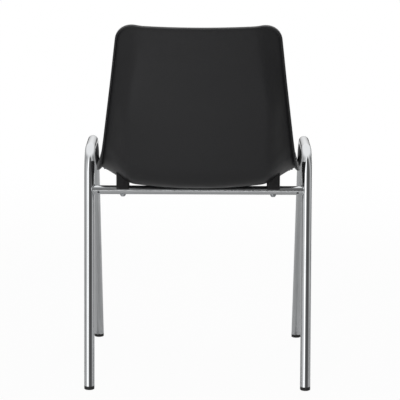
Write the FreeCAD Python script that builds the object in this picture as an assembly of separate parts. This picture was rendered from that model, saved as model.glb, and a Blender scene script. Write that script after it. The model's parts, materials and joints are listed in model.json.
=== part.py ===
"""Stacking choir chair: a one-piece moulded shell held between two inverted-V tubular side frames.

Millimetres, +Z up. The chair faces -Y, its back is towards +Y, and the floor is at z = 0.
While it is modelled, y = 0 is at the rear feet, and "run" is the distance forward of them.
The finished pieces are moved along Y so that the whole chair stands centred on its origin.
Left and right are the sitter's, so the left side is +X.
"""
import FreeCAD, Part
import math
import os

from FreeCAD import Vector

# Side frames: one tube each, rear leg, short top and front leg
TUBE_OD = 22.0
TUBE_WALL = 1.5
FOOT_SPREAD = 440.0
FOOT_HALF_WIDTH = 231.5
FRAME_TOP_HEIGHT = 495.0
LEG_TILT = 14.2
FRAME_LEAN = 0.4
FRAME_BEND_RADIUS = 60.0

# Rear crossbar, fish-mouthed and welded between the rear legs
BAR_OD = 19.0
BAR_WALL = 1.5
BAR_HEIGHT = FRAME_TOP_HEIGHT - 80.0
BAR_RUN = BAR_HEIGHT * math.tan(math.radians(LEG_TILT))
WELD_SIZE = 1.8
VENT_HOLE = 5.0
VENT_FROM_LEG = 9.0

# Feet: plugs pressed into the tube ends, with a cap as wide as the tube
FOOT_CAP = 7.5
FOOT_EDGE = 1.4
PLUG_LENGTH = 20.0
PLUG_RIBS = 3
PLUG_RIB_WIDTH = 2.0
PLUG_RELIEF = 0.4

# Shell: wall, rounded rim, corners of the back, and the run and height at which its centre line
# and its rim start, set from the crossbar that carries it
WALL = 4.0
RIM_ROUND = 3.0
TOP_CORNER = 42.0
LIP_BOTTOM = (BAR_RUN + 340.0, BAR_HEIGHT - 19.5)
RIM_LIP_BOTTOM = (BAR_RUN + 336.0, BAR_HEIGHT - 17.0)

# Fixing of the shell to the crossbar
FIXING_HALF_SPACING = FOOT_HALF_WIDTH - 69.5
BLOCK_WIDTH = 28.0
BLOCK_DEPTH = 26.0
BLOCK_CORNER = 4.0
BLOCK_SADDLE = 5.0
BOSS_OD = 14.0
BOSS_CLEARANCE = 0.2
BOSS_ABOVE_BAR = 1.0

# Fixing of the shell's skirts to the front legs
LEG_SCREW_HEIGHT = BAR_HEIGHT + 21.0
SPACER_OD = 16.0
SKIRT_GAP = 1.04
SKIRT_HALF_WIDTH = (FOOT_HALF_WIDTH + LEG_SCREW_HEIGHT * math.tan(math.radians(FRAME_LEAN))
                    - TUBE_OD / 2.0 - SKIRT_GAP)
WEB_THICKNESS = 3.0

# Screws, saddle washers and threaded inserts
SCREW_OD = 6.0
SCREW_CLEARANCE = 0.25
HEAD_OD = 11.0
HEAD_HEIGHT = 3.2
HEAD_BEVEL = 1.6
SOCKET_ACROSS = 4.0
SOCKET_DEPTH = 2.0
WASHER_OD = 13.0
WASHER_THICKNESS = 1.2
INSERT_OD = 8.4
INSERT_LENGTH = 11.0
INSERT_GROOVE = 2.4
INSERT_GROOVE_DEPTH = 0.5
SCREW_SHORT_OF_INSERT = 0.5


def joint_values(*values):
    """Values at the shell's seven joints, from the lip's bottom edge to the top of the back."""
    return values


# Each run of the shell is a length and its headings, in degrees from straight up towards the rear:
# the lip's edge, the front bend, the seat, the bend behind the seat, and two runs of the back.
CENTRE_RUNS = (
    (12.0, 6.0, 6.0),
    (65.3, 6.0, 91.0),
    (308.0, 91.0, 96.0),
    (83.1, 96.0, 11.0),
    (130.0, 11.0, 9.0),
    (186.0, 9.0, 14.0),
)
RIM_RUNS = (
    (12.0, 6.0, 6.0),
    (68.0, 6.0, 90.5),
    (205.0, 90.5, 86.0),
    (130.5, 86.0, 18.0),
    (99.0, 18.0, 17.5),
    (163.0, 17.5, 17.0),
)
STATION_SPACING = 17.0
NARROWINGS = joint_values(5.5, 4.5, 0.0, 0.0, 18.5, 30.8, 51.9)
HALF_WIDTHS = [SKIRT_HALF_WIDTH - narrowing for narrowing in NARROWINGS]
FLANGE_DEPTHS = joint_values(14.0, 17.0, 33.0, 33.0, 13.0, 12.5, 12.0)
CROWN_SHARES = joint_values(0.8, 0.8, 0.6, 0.3, 0.55, 0.62, 0.66)
WING_STARTS = joint_values(0.5, 0.5, 0.5, 0.5, 0.6, 0.68, 0.7)
WING_POWER = 2.4
ACROSS = (0.0, 0.15, 0.3, 0.45, 0.56, 0.66, 0.75, 0.83, 0.9, 0.96, 1.0)
SEAT_RUN = 2
SWEEP_RUN = 3

# Top edge of the back: how far it falls at its sides, and the spare length that is cut away above it
TOP_CROWN = 3.5
TOP_RUNOUT = 14.0
SIDE_MARGIN = 0.1

# How far the shape that hollows the shell runs out past its open side and its open lip
HOLLOW_RUNOUT = 6.0
LIP_RUNOUT = 8.0


def between(values, number, fraction):
    return values[number] + (values[number + 1] - values[number]) * fraction


def smooth(fraction):
    return fraction * fraction * (3.0 - 2.0 * fraction)


def rod(start, end, diameter):
    axis = end - start
    return Part.makeCylinder(diameter / 2.0, axis.Length, start, axis)


def tube(start, end, outer, bore):
    return rod(start, end, outer).cut(rod(start, end, bore))


def ring(outer, bore, height):
    """A ring standing on the origin along +Z."""
    return tube(Vector(), Vector(0, 0, height), outer, bore)


def pointed(shape, spot, axis):
    """A piece made along +Z at the origin, moved to a spot and turned along an axis."""
    moved = shape.copy()
    moved.Placement = FreeCAD.Placement(spot, FreeCAD.Rotation(Vector(0, 0, 1), axis))
    return moved


def sagitta(width, diameter):
    """How far a round tube falls away over half of this width."""
    radius = diameter / 2.0
    return radius - math.sqrt(radius * radius - width * width / 4.0)


def mirrored(shape):
    """The same piece on the other side of the chair."""
    return shape.mirror(Vector(0, 0, 0), Vector(1, 0, 0))


def place(x, run, height):
    return Vector(x, -run, height)


def leg_point(height, front):
    """A point on the axis of a left leg."""
    run = height * math.tan(math.radians(LEG_TILT))
    x = FOOT_HALF_WIDTH + height * math.tan(math.radians(FRAME_LEAN))
    return place(x, FOOT_SPREAD - run if front else run, height)


class Runs:
    """A side-view line made of tangent runs, each a straight line or an arc."""

    def __init__(self, start, runs):
        self.runs = runs
        self.starts = []
        for run in runs:
            self.starts.append(start)
            start = self.along(start, run, 1.0)

    @staticmethod
    def along(start, run, fraction):
        length, first, last = run
        a = math.radians(first)
        b = math.radians(first + (last - first) * fraction)
        if abs(b - a) < 1e-9:
            back = length * fraction * math.sin(a)
            up = length * fraction * math.cos(a)
        else:
            radius = length / math.radians(last - first)
            back = radius * (math.cos(a) - math.cos(b))
            up = radius * (math.sin(b) - math.sin(a))
        return (start[0] - back, start[1] + up)

    def at(self, number, fraction):
        return self.along(self.starts[number], self.runs[number], fraction)

    def heading(self, number, fraction):
        _, first, last = self.runs[number]
        return math.radians(first + (last - first) * fraction)


CENTRE = Runs(LIP_BOTTOM, CENTRE_RUNS)
RIM = Runs(RIM_LIP_BOTTOM, RIM_RUNS)


class Section:
    """One cross-section of the shell, from its centre line out to its rim."""

    def __init__(self, number, fraction):
        self.centre = CENTRE.at(number, fraction)
        self.rim = RIM.at(number, fraction)
        held = min(max(fraction, 0.0), 1.0)
        heading = RIM.heading(number, held)
        self.outward = Vector(0.0, math.cos(heading), -math.sin(heading))
        self.half_width = between(HALF_WIDTHS, number, held)
        eased = held * held if number == SWEEP_RUN else held
        self.depth = between(FLANGE_DEPTHS, number, eased)
        self.crown = between(CROWN_SHARES, number, smooth(held))
        self.wing = between(WING_STARTS, number, smooth(held))

    def rise(self, share):
        """How far a point has risen from the centre line towards the rim."""
        wing = max(0.0, (abs(share) - self.wing) / (1.0 - self.wing))
        return self.crown * share * share + (1.0 - self.crown) * wing ** WING_POWER

    def slope(self, share):
        step = 0.002
        low = max(abs(share) - step, 0.0)
        reach = math.hypot(self.rim[0] - self.centre[0], self.rim[1] - self.centre[1])
        gain = self.rise(low + step) - self.rise(low)
        return math.atan(gain / step * reach / self.half_width)

    def point(self, x, drop):
        """A point at x on the sitting surface, moved outward through a wall of this thickness."""
        share = x / self.half_width
        rise = self.rise(share)
        forward = self.centre[0] + rise * (self.rim[0] - self.centre[0])
        height = self.centre[1] + rise * (self.rim[1] - self.centre[1])
        through = drop / math.cos(self.slope(share))
        return Vector(x, -forward, height) + self.outward * through


def stations(below_lip, below_top):
    """Run numbers and fractions along the shell, its ends moved by the given lengths."""
    found = []
    for number, run in enumerate(CENTRE_RUNS):
        count = max(1, round(run[0] / STATION_SPACING))
        found.extend((number, step / count) for step in range(count))
    found[0] = (0, -below_lip / CENTRE_RUNS[0][0])
    last = len(CENTRE_RUNS) - 1
    found.append((last, 1.0 - below_top / CENTRE_RUNS[last][0]))
    return found


def side_curves(surface):
    """The first and last edge of a surface in each direction."""
    u0, u1, v0, v1 = surface.bounds()
    curves = (surface.uIso(u0), surface.uIso(u1), surface.vIso(v0), surface.vIso(v1))
    return [curve.toShape() for curve in curves]


def shell_block(inset, drop, extra, below_lip, below_top):
    """The solid between the sitting surface and a surface a flange's depth behind it."""
    shares = [-share for share in reversed(ACROSS[1:])] + list(ACROSS)
    near = []
    far = []
    for station in stations(below_lip, below_top):
        section = Section(*station)
        reach = section.half_width - inset
        push = section.outward * (section.depth + extra)
        near.append([section.point(share * reach, drop) for share in shares])
        far.append([section.point(share * reach, 0.0) + push for share in shares])
    skins = []
    for grid in (near, far):
        surface = Part.BSplineSurface()
        surface.interpolate(grid)
        skins.append(surface)
    faces = [surface.toShape() for surface in skins]
    for first, second in zip(side_curves(skins[0]), side_curves(skins[1])):
        faces.append(Part.makeRuledSurface(first, second))
    skin = Part.makeShell(faces)
    skin.sewShape(0.01)
    block = Part.makeSolid(skin)
    if block.Volume < 0.0:
        block.reverse()
    return block


def top_waste(inset):
    """What is cut away above the back, so that its top is crowned and its corners are round."""
    last = len(RIM_RUNS) - 1
    corner = Section(last, 1.0)
    root = Section(last, 0.0)
    back = corner.outward
    up = Vector(0.0, -back.z, back.y)
    rim = Vector(0.0, -corner.rim[0], corner.rim[1])
    middle = Vector(0.0, -corner.centre[0], corner.centre[1])
    bottom = (Vector(0.0, -root.rim[0], root.rim[1]) - rim).dot(up)
    top = (middle - rim).dot(up) - inset
    shoulder = top - TOP_CROWN
    edge = corner.half_width - inset + SIDE_MARGIN
    taper = (root.half_width - corner.half_width) / bottom
    through = back * (3.0 * TOP_CORNER)

    def spot(side, rise):
        return Vector(side * (edge + taper * rise), 0.0, 0.0) + rim + up * rise - through / 3.0

    crown = Part.Arc(spot(-1, shoulder), spot(0, top), spot(1, shoulder)).toShape()
    sides = Part.makePolygon([spot(1, shoulder), spot(1, bottom), spot(-1, bottom), spot(-1, shoulder)])
    kept = Part.Face(Part.Wire([crown] + sides.Edges)).extrude(through)
    corners = [line for line in kept.Edges
               if abs(line.Length - through.Length) < 0.01
               and (line.CenterOfMass - rim).dot(up) > bottom / 2.0]
    kept = kept.makeFillet(TOP_CORNER - inset, corners)
    low = spot(-1, bottom * 0.75)
    wide = Vector(-2.0 * low.x, 0.0, 0.0)
    high = up * (3.0 * TOP_RUNOUT - bottom * 0.75)
    square = Part.makePolygon([low, low + wide, low + wide + high, low + high, low])
    return Part.Face(square).extrude(through).cut(kept)


def bar_spot(height_above_axis):
    """A point above the crossbar's axis, at the left fixing."""
    return place(FIXING_HALF_SPACING, BAR_RUN, BAR_HEIGHT + height_above_axis)


def skirt_spot(inward):
    """A point on the axis of the left front leg's screw, this far in from the skirt's outside."""
    run = -leg_point(LEG_SCREW_HEIGHT, True).y
    return place(HALF_WIDTHS[SEAT_RUN] - inward, run, LEG_SCREW_HEIGHT)


def under_pan(drop):
    """The space under the shell, from a surface this far below the sitting surface."""
    return shell_block(drop, drop, HOLLOW_RUNOUT, LIP_RUNOUT, -TOP_RUNOUT).cut(top_waste(drop))


def seat_shell(hollow, fused):
    """The moulded shell, with a boss over the crossbar and one inside each skirt for its inserts."""
    block = shell_block(0.0, 0.0, 0.0, 0.0, -TOP_RUNOUT).cut(top_waste(0.0))
    seat = Part.Vertex(place(0.0, *CENTRE.at(SEAT_RUN, 0.5)))
    sitting = min(block.Faces, key=lambda face: face.distToShape(seat)[0])
    shell = block.makeFillet(RIM_ROUND, sitting.OuterWire.Edges).cut(hollow)

    foot = bar_spot(BAR_OD / 2.0 + BOSS_ABOVE_BAR)
    boss = rod(foot, foot + Vector(0, 0, 3.0 * BOSS_OD), BOSS_OD)
    boss_end = skirt_spot(INSERT_LENGTH + WALL)
    side_boss = rod(boss_end, skirt_spot(WALL / 2.0), BOSS_OD)
    web = Part.makeBox(INSERT_LENGTH + WALL / 2.0, WEB_THICKNESS, 3.0 * BOSS_OD,
                       boss_end - Vector(0, WEB_THICKNESS / 2.0, 0))
    added = [piece.common(fused) for piece in (boss, web)] + [side_boss]
    holes = [rod(foot, foot + Vector(0, 0, INSERT_LENGTH), INSERT_OD),
             rod(skirt_spot(0.0), skirt_spot(INSERT_LENGTH), INSERT_OD)]
    added += [mirrored(piece) for piece in added]
    holes += [mirrored(piece) for piece in holes]
    return shell.fuse(added).cut(holes)


def rounded_path(corners, radius):
    """A wire through the corners, each inner one turned by an arc of this radius."""
    edges = []
    start = corners[0]
    for before, corner, after in zip(corners, corners[1:], corners[2:]):
        inward = (before - corner).normalize()
        onward = (after - corner).normalize()
        half = inward.getAngle(onward) / 2.0
        reach = radius / math.tan(half)
        middle = (inward + onward).normalize() * (radius / math.sin(half) - radius)
        edges.append(Part.LineSegment(start, corner + inward * reach).toShape())
        edges.append(Part.Arc(corner + inward * reach, corner + middle, corner + onward * reach).toShape())
        start = corner + onward * reach
    edges.append(Part.LineSegment(start, corners[-1]).toShape())
    return Part.Wire(edges)


def side_frame():
    """One bent tube, cut level above its feet, with a hole for the front leg's screw."""
    ends = [leg_point(0.0, False), leg_point(0.0, True)]
    tops = [leg_point(FRAME_TOP_HEIGHT, False), leg_point(FRAME_TOP_HEIGHT, True)]
    path = rounded_path([ends[0], tops[0], tops[1], ends[1]], FRAME_BEND_RADIUS)
    solids = []
    for diameter in (TUBE_OD, TUBE_OD - 2.0 * TUBE_WALL):
        circle = Part.Circle(ends[0], tops[0] - ends[0], diameter / 2.0).toShape()
        solids.append(path.makePipe(Part.Face(Part.Wire(circle))))
    level = Part.makeBox(4.0 * TUBE_OD, 2.0 * FOOT_SPREAD, 2.0 * FOOT_CAP,
                         place(FOOT_HALF_WIDTH - 2.0 * TUBE_OD, 1.5 * FOOT_SPREAD, -FOOT_CAP))
    axis = leg_point(LEG_SCREW_HEIGHT, True)
    across = Vector(TUBE_OD, 0, 0)
    hole = rod(axis - across, axis + across, SCREW_OD + 2.0 * SCREW_CLEARANCE)
    return solids[0].cut([solids[1], level, hole])


def leg_rod(front, diameter):
    return rod(leg_point(0.0, front), leg_point(FRAME_TOP_HEIGHT, front), diameter)


def rear_crossbar():
    """The bar between the rear legs: mitred round them, welded on, vented and drilled."""
    left = leg_point(BAR_HEIGHT, False)
    right = Vector(-left.x, left.y, left.z)
    legs = [leg_rod(False, TUBE_OD)]
    beads = [leg_rod(False, TUBE_OD + 2.0 * WELD_SIZE)]
    legs += [mirrored(leg) for leg in legs]
    beads += [mirrored(bead) for bead in beads]
    bead = rod(right, left, BAR_OD + 2.0 * WELD_SIZE).common(beads[0].fuse(beads[1]))
    bore = rod(right, left, BAR_OD - 2.0 * BAR_WALL)
    bar = rod(right, left, BAR_OD).fuse(bead).cut([bore] + legs)
    down = Vector(0, 0, BAR_OD)
    screw_hole = rod(bar_spot(-BAR_OD), bar_spot(BAR_OD), SCREW_OD + 2.0 * SCREW_CLEARANCE)
    vent_spot = left - Vector(TUBE_OD / 2.0 + VENT_FROM_LEG, 0, 0)
    vent = rod(vent_spot, vent_spot - down, VENT_HOLE)
    holes = [screw_hole, vent]
    return bar.cut(holes + [mirrored(hole) for hole in holes])


def leg_foot(front):
    """A rubber foot: a cap with a flat, bevelled sole, and a ribbed plug inside the tube."""
    base = leg_point(0.0, front)
    axis = (leg_point(FRAME_TOP_HEIGHT, front) - base).normalize()
    bore = TUBE_OD - 2.0 * TUBE_WALL
    slab = Part.makeBox(4.0 * TUBE_OD, 4.0 * TUBE_OD, FOOT_CAP,
                        base - Vector(2.0 * TUBE_OD, 2.0 * TUBE_OD, 0))
    cap = rod(base - axis * TUBE_OD, base + axis * TUBE_OD, TUBE_OD).common(slab)
    cap = cap.makeChamfer(FOOT_EDGE, [edge for edge in cap.Edges if edge.BoundBox.ZMax < 0.01])
    top = FOOT_CAP + PLUG_LENGTH
    plug = rod(base + axis * (FOOT_CAP / 2.0), base + axis * top, bore - 2.0 * PLUG_RELIEF)
    ribs = []
    for number in range(PLUG_RIBS):
        start = top - PLUG_RIB_WIDTH - number * (PLUG_LENGTH - PLUG_RIB_WIDTH) / PLUG_RIBS
        ribs.append(rod(base + axis * start, base + axis * (start + PLUG_RIB_WIDTH), bore))
    return cap.fuse([plug] + ribs)


def mounting_block(hollow):
    """The spacer that straddles the crossbar, its top following the underside of the shell."""
    bottom = bar_spot(BAR_OD / 2.0 - BLOCK_SADDLE)
    corner = bottom - Vector(BLOCK_WIDTH / 2.0, BLOCK_DEPTH / 2.0, 0)
    block = Part.makeBox(BLOCK_WIDTH, BLOCK_DEPTH, 2.0 * BLOCK_DEPTH, corner)
    upright = [edge for edge in block.Edges if edge.BoundBox.ZLength > BLOCK_DEPTH]
    block = block.makeFillet(BLOCK_CORNER, upright).common(hollow)
    across = Vector(BLOCK_WIDTH, 0, 0)
    bar = rod(bar_spot(0.0) - across, bar_spot(0.0) + across, BAR_OD)
    bore = rod(bar_spot(0.0), bar_spot(3.0 * BLOCK_DEPTH), BOSS_OD + 2.0 * BOSS_CLEARANCE)
    return block.cut([bar, bore])


def screw(length):
    """Button-head screw with its head's seat at the origin and its shank along +Z."""
    head = Part.makeCylinder(HEAD_OD / 2.0, HEAD_HEIGHT, Vector(0, 0, -HEAD_HEIGHT))
    crown = [edge for edge in head.Edges if edge.BoundBox.ZMax < 0.01 - HEAD_HEIGHT]
    head = head.makeChamfer(HEAD_BEVEL, crown)
    radius = SOCKET_ACROSS / math.sqrt(3.0)
    turns = [math.radians(60.0 * number) for number in range(7)]
    hexagon = [Vector(radius * math.cos(turn), radius * math.sin(turn), -HEAD_HEIGHT) for turn in turns]
    socket = Part.Face(Part.makePolygon(hexagon)).extrude(Vector(0, 0, SOCKET_DEPTH))
    return head.cut(socket).fuse(Part.makeCylinder(SCREW_OD / 2.0, length))


def insert():
    """Brass threaded insert with a groove round its middle, standing on its open end."""
    groove = ring(INSERT_OD + 1.0, INSERT_OD - 2.0 * INSERT_GROOVE_DEPTH, INSERT_GROOVE)
    groove.translate(Vector(0, 0, (INSERT_LENGTH - INSERT_GROOVE) / 2.0))
    return ring(INSERT_OD, SCREW_OD, INSERT_LENGTH).cut(groove)


def crossbar_fastenings():
    """Screw, saddle washer and insert that hold the shell and block to the crossbar."""
    up = Vector(0, 0, 1)
    seat = bar_spot(-BAR_OD / 2.0 - WASHER_THICKNESS)
    mouth = bar_spot(BAR_OD / 2.0 + BOSS_ABOVE_BAR)
    length = (mouth - seat).Length + INSERT_LENGTH - SCREW_SHORT_OF_INSERT
    height = WASHER_THICKNESS + sagitta(WASHER_OD, BAR_OD)
    washer = pointed(ring(WASHER_OD, SCREW_OD + 2.0 * SCREW_CLEARANCE, height), seat, up)
    across = Vector(WASHER_OD, 0, 0)
    return {
        "crossbar_screw": pointed(screw(length), seat, up),
        "crossbar_washer": washer.cut(rod(bar_spot(0.0) - across, bar_spot(0.0) + across, BAR_OD)),
        "crossbar_insert": pointed(insert(), mouth, up),
    }


def leg_fastenings():
    """Screw, saddle washer, saddle spacer and insert that hold a skirt to its front leg."""
    inward = Vector(-1, 0, 0)
    leg = leg_rod(True, TUBE_OD)
    axis = leg_point(LEG_SCREW_HEIGHT, True)
    mouth = skirt_spot(0.0)
    seat = axis + Vector(TUBE_OD / 2.0 + WASHER_THICKNESS, 0, 0)
    length = (mouth - seat).Length + INSERT_LENGTH - SCREW_SHORT_OF_INSERT
    bore = SCREW_OD + 2.0 * SCREW_CLEARANCE
    washer = pointed(ring(WASHER_OD, bore, WASHER_THICKNESS + sagitta(WASHER_OD, TUBE_OD)), seat, inward)
    spacer = pointed(ring(SPACER_OD, bore, (axis - mouth).Length), mouth, inward * -1.0)
    return {
        "leg_screw": pointed(screw(length), seat, inward),
        "leg_washer": washer.cut(leg),
        "leg_spacer": spacer.cut(leg),
        "leg_insert": pointed(insert(), mouth, inward),
    }


def build():
    """All pieces by name: the left ones are modelled and the right ones mirrored."""
    hollow = under_pan(WALL)
    left = {
        "side_frame": side_frame(),
        "mounting_block": mounting_block(hollow),
    }
    left.update(crossbar_fastenings())
    left.update(leg_fastenings())
    pieces = {
        "seat_shell": seat_shell(hollow, under_pan(WALL / 2.0)),
        "rear_crossbar": rear_crossbar(),
    }
    for name, piece in left.items():
        pieces["left_" + name] = piece
        pieces["right_" + name] = mirrored(piece)
    for end, front in (("rear", False), ("front", True)):
        foot = leg_foot(front)
        pieces[end + "_left_foot"] = foot
        pieces[end + "_right_foot"] = mirrored(foot)
    return pieces


def main():
    pieces = build()
    boxes = [piece.optimalBoundingBox(False) for piece in pieces.values()]
    middle = (min(box.YMin for box in boxes) + max(box.YMax for box in boxes)) / 2.0
    os.makedirs("parts", exist_ok=True)
    for name, piece in pieces.items():
        piece.translate(Vector(0, -middle, 0))
        piece.exportStep("parts/" + name + ".step")
        print(name, len(piece.Solids), piece.isValid(), round(piece.Volume))
    print("moved along Y by", round(-middle, 3))


if __name__ == "__main__":
    main()
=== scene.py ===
"""Looks of a stacking choir chair: a grained black shell on a mirror-chromed tube frame.

Metres, +Z up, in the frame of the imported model. The chair faces -Y and the sitter's left is +X.
"Run" is the distance forward of the rear feet.
"""
import json
import math

import bmesh
import bpy
from bpy.props import FloatProperty, FloatVectorProperty, IntProperty, PointerProperty
from mathutils import Matrix, Vector
from mathutils.bvhtree import BVHTree


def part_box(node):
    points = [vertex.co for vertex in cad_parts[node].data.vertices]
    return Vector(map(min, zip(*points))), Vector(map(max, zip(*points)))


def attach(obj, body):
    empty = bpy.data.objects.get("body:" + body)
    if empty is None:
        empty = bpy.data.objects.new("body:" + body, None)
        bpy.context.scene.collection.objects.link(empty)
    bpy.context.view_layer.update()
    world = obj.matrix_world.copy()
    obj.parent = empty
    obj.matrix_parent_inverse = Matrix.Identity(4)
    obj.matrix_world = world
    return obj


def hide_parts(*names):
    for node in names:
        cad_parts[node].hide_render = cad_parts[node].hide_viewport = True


bl_info = {
    "name": "Stacking choir chair",
    "version": (1, 0, 0),
    "blender": (4, 5, 0),
    "location": "View3D > Sidebar > Choir chair",
    "description": "Builds the shell, chromed frame, feet and fastenings of a stacking chair",
    "category": "Object",
}

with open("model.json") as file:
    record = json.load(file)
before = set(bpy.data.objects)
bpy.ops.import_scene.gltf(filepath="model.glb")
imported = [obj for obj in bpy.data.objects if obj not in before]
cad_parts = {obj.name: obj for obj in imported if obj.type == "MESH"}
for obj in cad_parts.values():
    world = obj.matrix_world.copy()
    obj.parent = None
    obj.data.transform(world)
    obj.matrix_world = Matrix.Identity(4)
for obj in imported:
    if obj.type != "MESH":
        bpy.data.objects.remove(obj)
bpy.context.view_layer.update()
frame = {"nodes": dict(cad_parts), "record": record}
NODES = frame["nodes"]
MOUNTS = {mount["name"]: Vector(mount["pos_m"]) for mount in frame["record"]["mounts"]}
MM = 0.001
ACROSS = Vector((1.0, 0.0, 0.0))

REAR_FOOT = MOUNTS["rear_left_foot_rest"]
FRONT_FOOT = MOUNTS["front_left_foot_rest"]
FOOT_SPREAD = REAR_FOOT.y - FRONT_FOOT.y
LEG_TILT = math.radians(14.2)
FRAME_LEAN = math.radians(0.4)
FRAME_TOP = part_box("left_side_frame")[1][2]
BAR_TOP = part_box("rear_crossbar")[1][2]

# Side-view runs of the shell, in mm and degrees from straight up towards the rear: the lip's
# edge, the front bend, the seat, the bend behind the seat, and two runs of the back
LIP_BOTTOM = (445.0, 395.5)
RIM_LIP_BOTTOM = (441.0, 398.0)
CENTRE_RUNS = (
    (12.0, 6.0, 6.0),
    (65.3, 6.0, 91.0),
    (308.0, 91.0, 96.0),
    (83.1, 96.0, 11.0),
    (130.0, 11.0, 9.0),
    (186.0, 9.0, 14.0),
)
RIM_RUNS = (
    (12.0, 6.0, 6.0),
    (68.0, 6.0, 90.5),
    (205.0, 90.5, 86.0),
    (130.5, 86.0, 18.0),
    (99.0, 18.0, 17.5),
    (163.0, 17.5, 17.0),
)
# Values at the seven joints of those runs, in mm or as shares
HALF_WIDTHS = (217.0, 218.0, 222.5, 222.5, 204.0, 191.7, 170.6)
FLANGE_DEPTHS = (14.0, 17.0, 36.0, 14.0, 13.0, 12.5, 12.0)
CROWN_SHARES = (0.8, 0.8, 0.6, 0.45, 0.36, 0.3, 0.6)
WING_STARTS = (0.5, 0.5, 0.5, 0.6, 0.69, 0.74, 0.66)
SWEEP_RUN = 3
SEAT_RUN = 2
# A spot in the middle of the seat, as run and height
SEAT_MIDDLE = (0.25, 0.447)
# How far down from the top edge its crown is blended in, in mm
CROWN_BLEND = 150.0

# How finely the pieces are divided
RIM_STEPS = 5
BEND_STEPS = 20
BAR_LENGTHS = 24
WELD_POINTS = 96
VENT_SIDES = 24
BOSS_SIDES = 40

# From which angle between two faces, in degrees, their edge looks sharp, and from which it is rounded
SHARP_TUBE = 40.0
SHARP_BLOCK = 30.0
SHARP_FOOT = 50.0
ROUNDED_FROM = 60.0

# How many ripples a weld has and how deep they are, and how thick the bead is and how far out it sits,
# as shares of the weld's size
WELD_RIPPLES = 17
WELD_RIPPLE_DEPTH = 0.13
WELD_BEAD = 0.62
WELD_OUT = 0.25
# How far below level the crossbar's vents face, towards the rear, and how deep the drill goes
VENT_DROP = math.radians(24.0)
VENT_DEPTH = 4.0 * MM
# A block is shaped anew from this far above the crossbar, and sinks this far into the shell's wall
BLOCK_CLEAR = 1.0 * MM
BLOCK_BITE = 1.0 * MM
# A boss and its web end this far short of the skirt's outer face
BOSS_SHORT = 1.0 * MM

# The stage: where the camera of the photograph stood, worked out from the feet and the back
CAMERA_BEHIND_FEET = 4.331
CAMERA_HEIGHT = 1.274
CAMERA_PITCH = math.radians(11.23)
CAMERA_ROLL = math.radians(0.25)
CAMERA_SIDE = -0.0042
FOCAL_PIXELS = 2095.0
PHOTO_PIXELS = 400.0
SENSOR_WIDTH = 36.0
VIEW_DISTANCE = 100.0
# How much of the surroundings lights plain surfaces
AMBIENT = 0.22
# The floor: its grey and half its length, the white it shows the camera near the chair and to gloss,
# and how far from the chair it turns fully white
FLOOR_GREY = 0.4
FLOOR_REACH = 30.0
FLOOR_GLOW = 0.965
FLOOR_GLOSS_GLOW = 0.05
FLOOR_FADE = (0.9, 2.6)
# What polished metal reflects: compass angle in degrees from +Y towards +X, and brightness
SURROUNDINGS = (
    (-180, 0.5), (-140, 0.45), (-112, 0.15), (-86, 0.62), (-60, 0.16), (-38, 0.08), (-10, 0.09), (6, 0.22),
    (22, 1.1), (30, 2.6), (38, 0.9), (56, 0.64), (80, 0.55), (108, 0.34), (145, 0.45), (180, 0.5),
)
# The bright ceiling that it reflects too: the way to its middle, the cosines of the angles from there at
# which it begins and is full, and its brightness
CEILING_AT = (0.0, -0.6, 0.8)
CEILING_EDGE = (0.55, 0.8)
CEILING_LEVEL = 0.95
LAMP_AIM = (0.0, 0.0, 0.45)
# Soft boxes: name, place, width and height, and power in watts
LAMPS = (
    ("rear", (0.9, 3.8, 1.2), (0.9, 1.4), 160.0),
    ("front", (-1.2, -3.4, 1.7), (1.4, 1.6), 110.0),
    ("top", (0.0, -0.3, 3.2), (2.2, 2.2), 30.0),
)


def linear(code):
    """An sRGB hex colour as linear red, green and blue."""
    parts = [int(code[start:start + 2], 16) / 255.0 for start in (1, 3, 5)]
    return tuple(part / 12.92 if part <= 0.04045 else ((part + 0.055) / 1.055) ** 2.4 for part in parts)


def grey(level):
    return (level, level, level, 1.0)


def between(values, number, fraction):
    """The value this far between two neighbours in a row of values."""
    return values[number] + (values[number + 1] - values[number]) * fraction


def smooth(fraction):
    """Eases from 0 to 1, level at both ends."""
    held = min(max(fraction, 0.0), 1.0)
    return held * held * (3.0 - 2.0 * held)


def place(x, run, height):
    """A point from its run forward of the rear feet."""
    return Vector((x, REAR_FOOT.y - run, height))


def leg_point(height, front):
    """A point on the axis of a left leg."""
    run = height * math.tan(LEG_TILT)
    x = REAR_FOOT.x + height * math.tan(FRAME_LEAN)
    return place(x, FOOT_SPREAD - run if front else run, height)


class ShellSizes(bpy.types.PropertyGroup):
    wall: FloatProperty(name="Wall", description="Thickness of the moulded wall",
                        default=4.0 * MM, unit="LENGTH")
    rim_round: FloatProperty(name="Rim rounding", description="Radius between the face and the turned rim",
                             default=4.6 * MM, unit="LENGTH")
    top_corner: FloatProperty(name="Top corner", description="Radius of the back's two top corners",
                              default=42.0 * MM, unit="LENGTH")
    top_crown: FloatProperty(name="Top crown", description="How far the top edge falls at its sides",
                             default=3.5 * MM, unit="LENGTH")
    edge_break: FloatProperty(name="Edge break", description="Rounding of the rim's free edge",
                              default=1.1 * MM, unit="LENGTH")
    columns: IntProperty(name="Columns", description="Faces across the shell", default=84)
    rows: IntProperty(name="Rows", description="Faces along the shell, below its top corners", default=132)
    corner_rows: IntProperty(name="Corner rows", description="Faces along a top corner", default=14)


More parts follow.
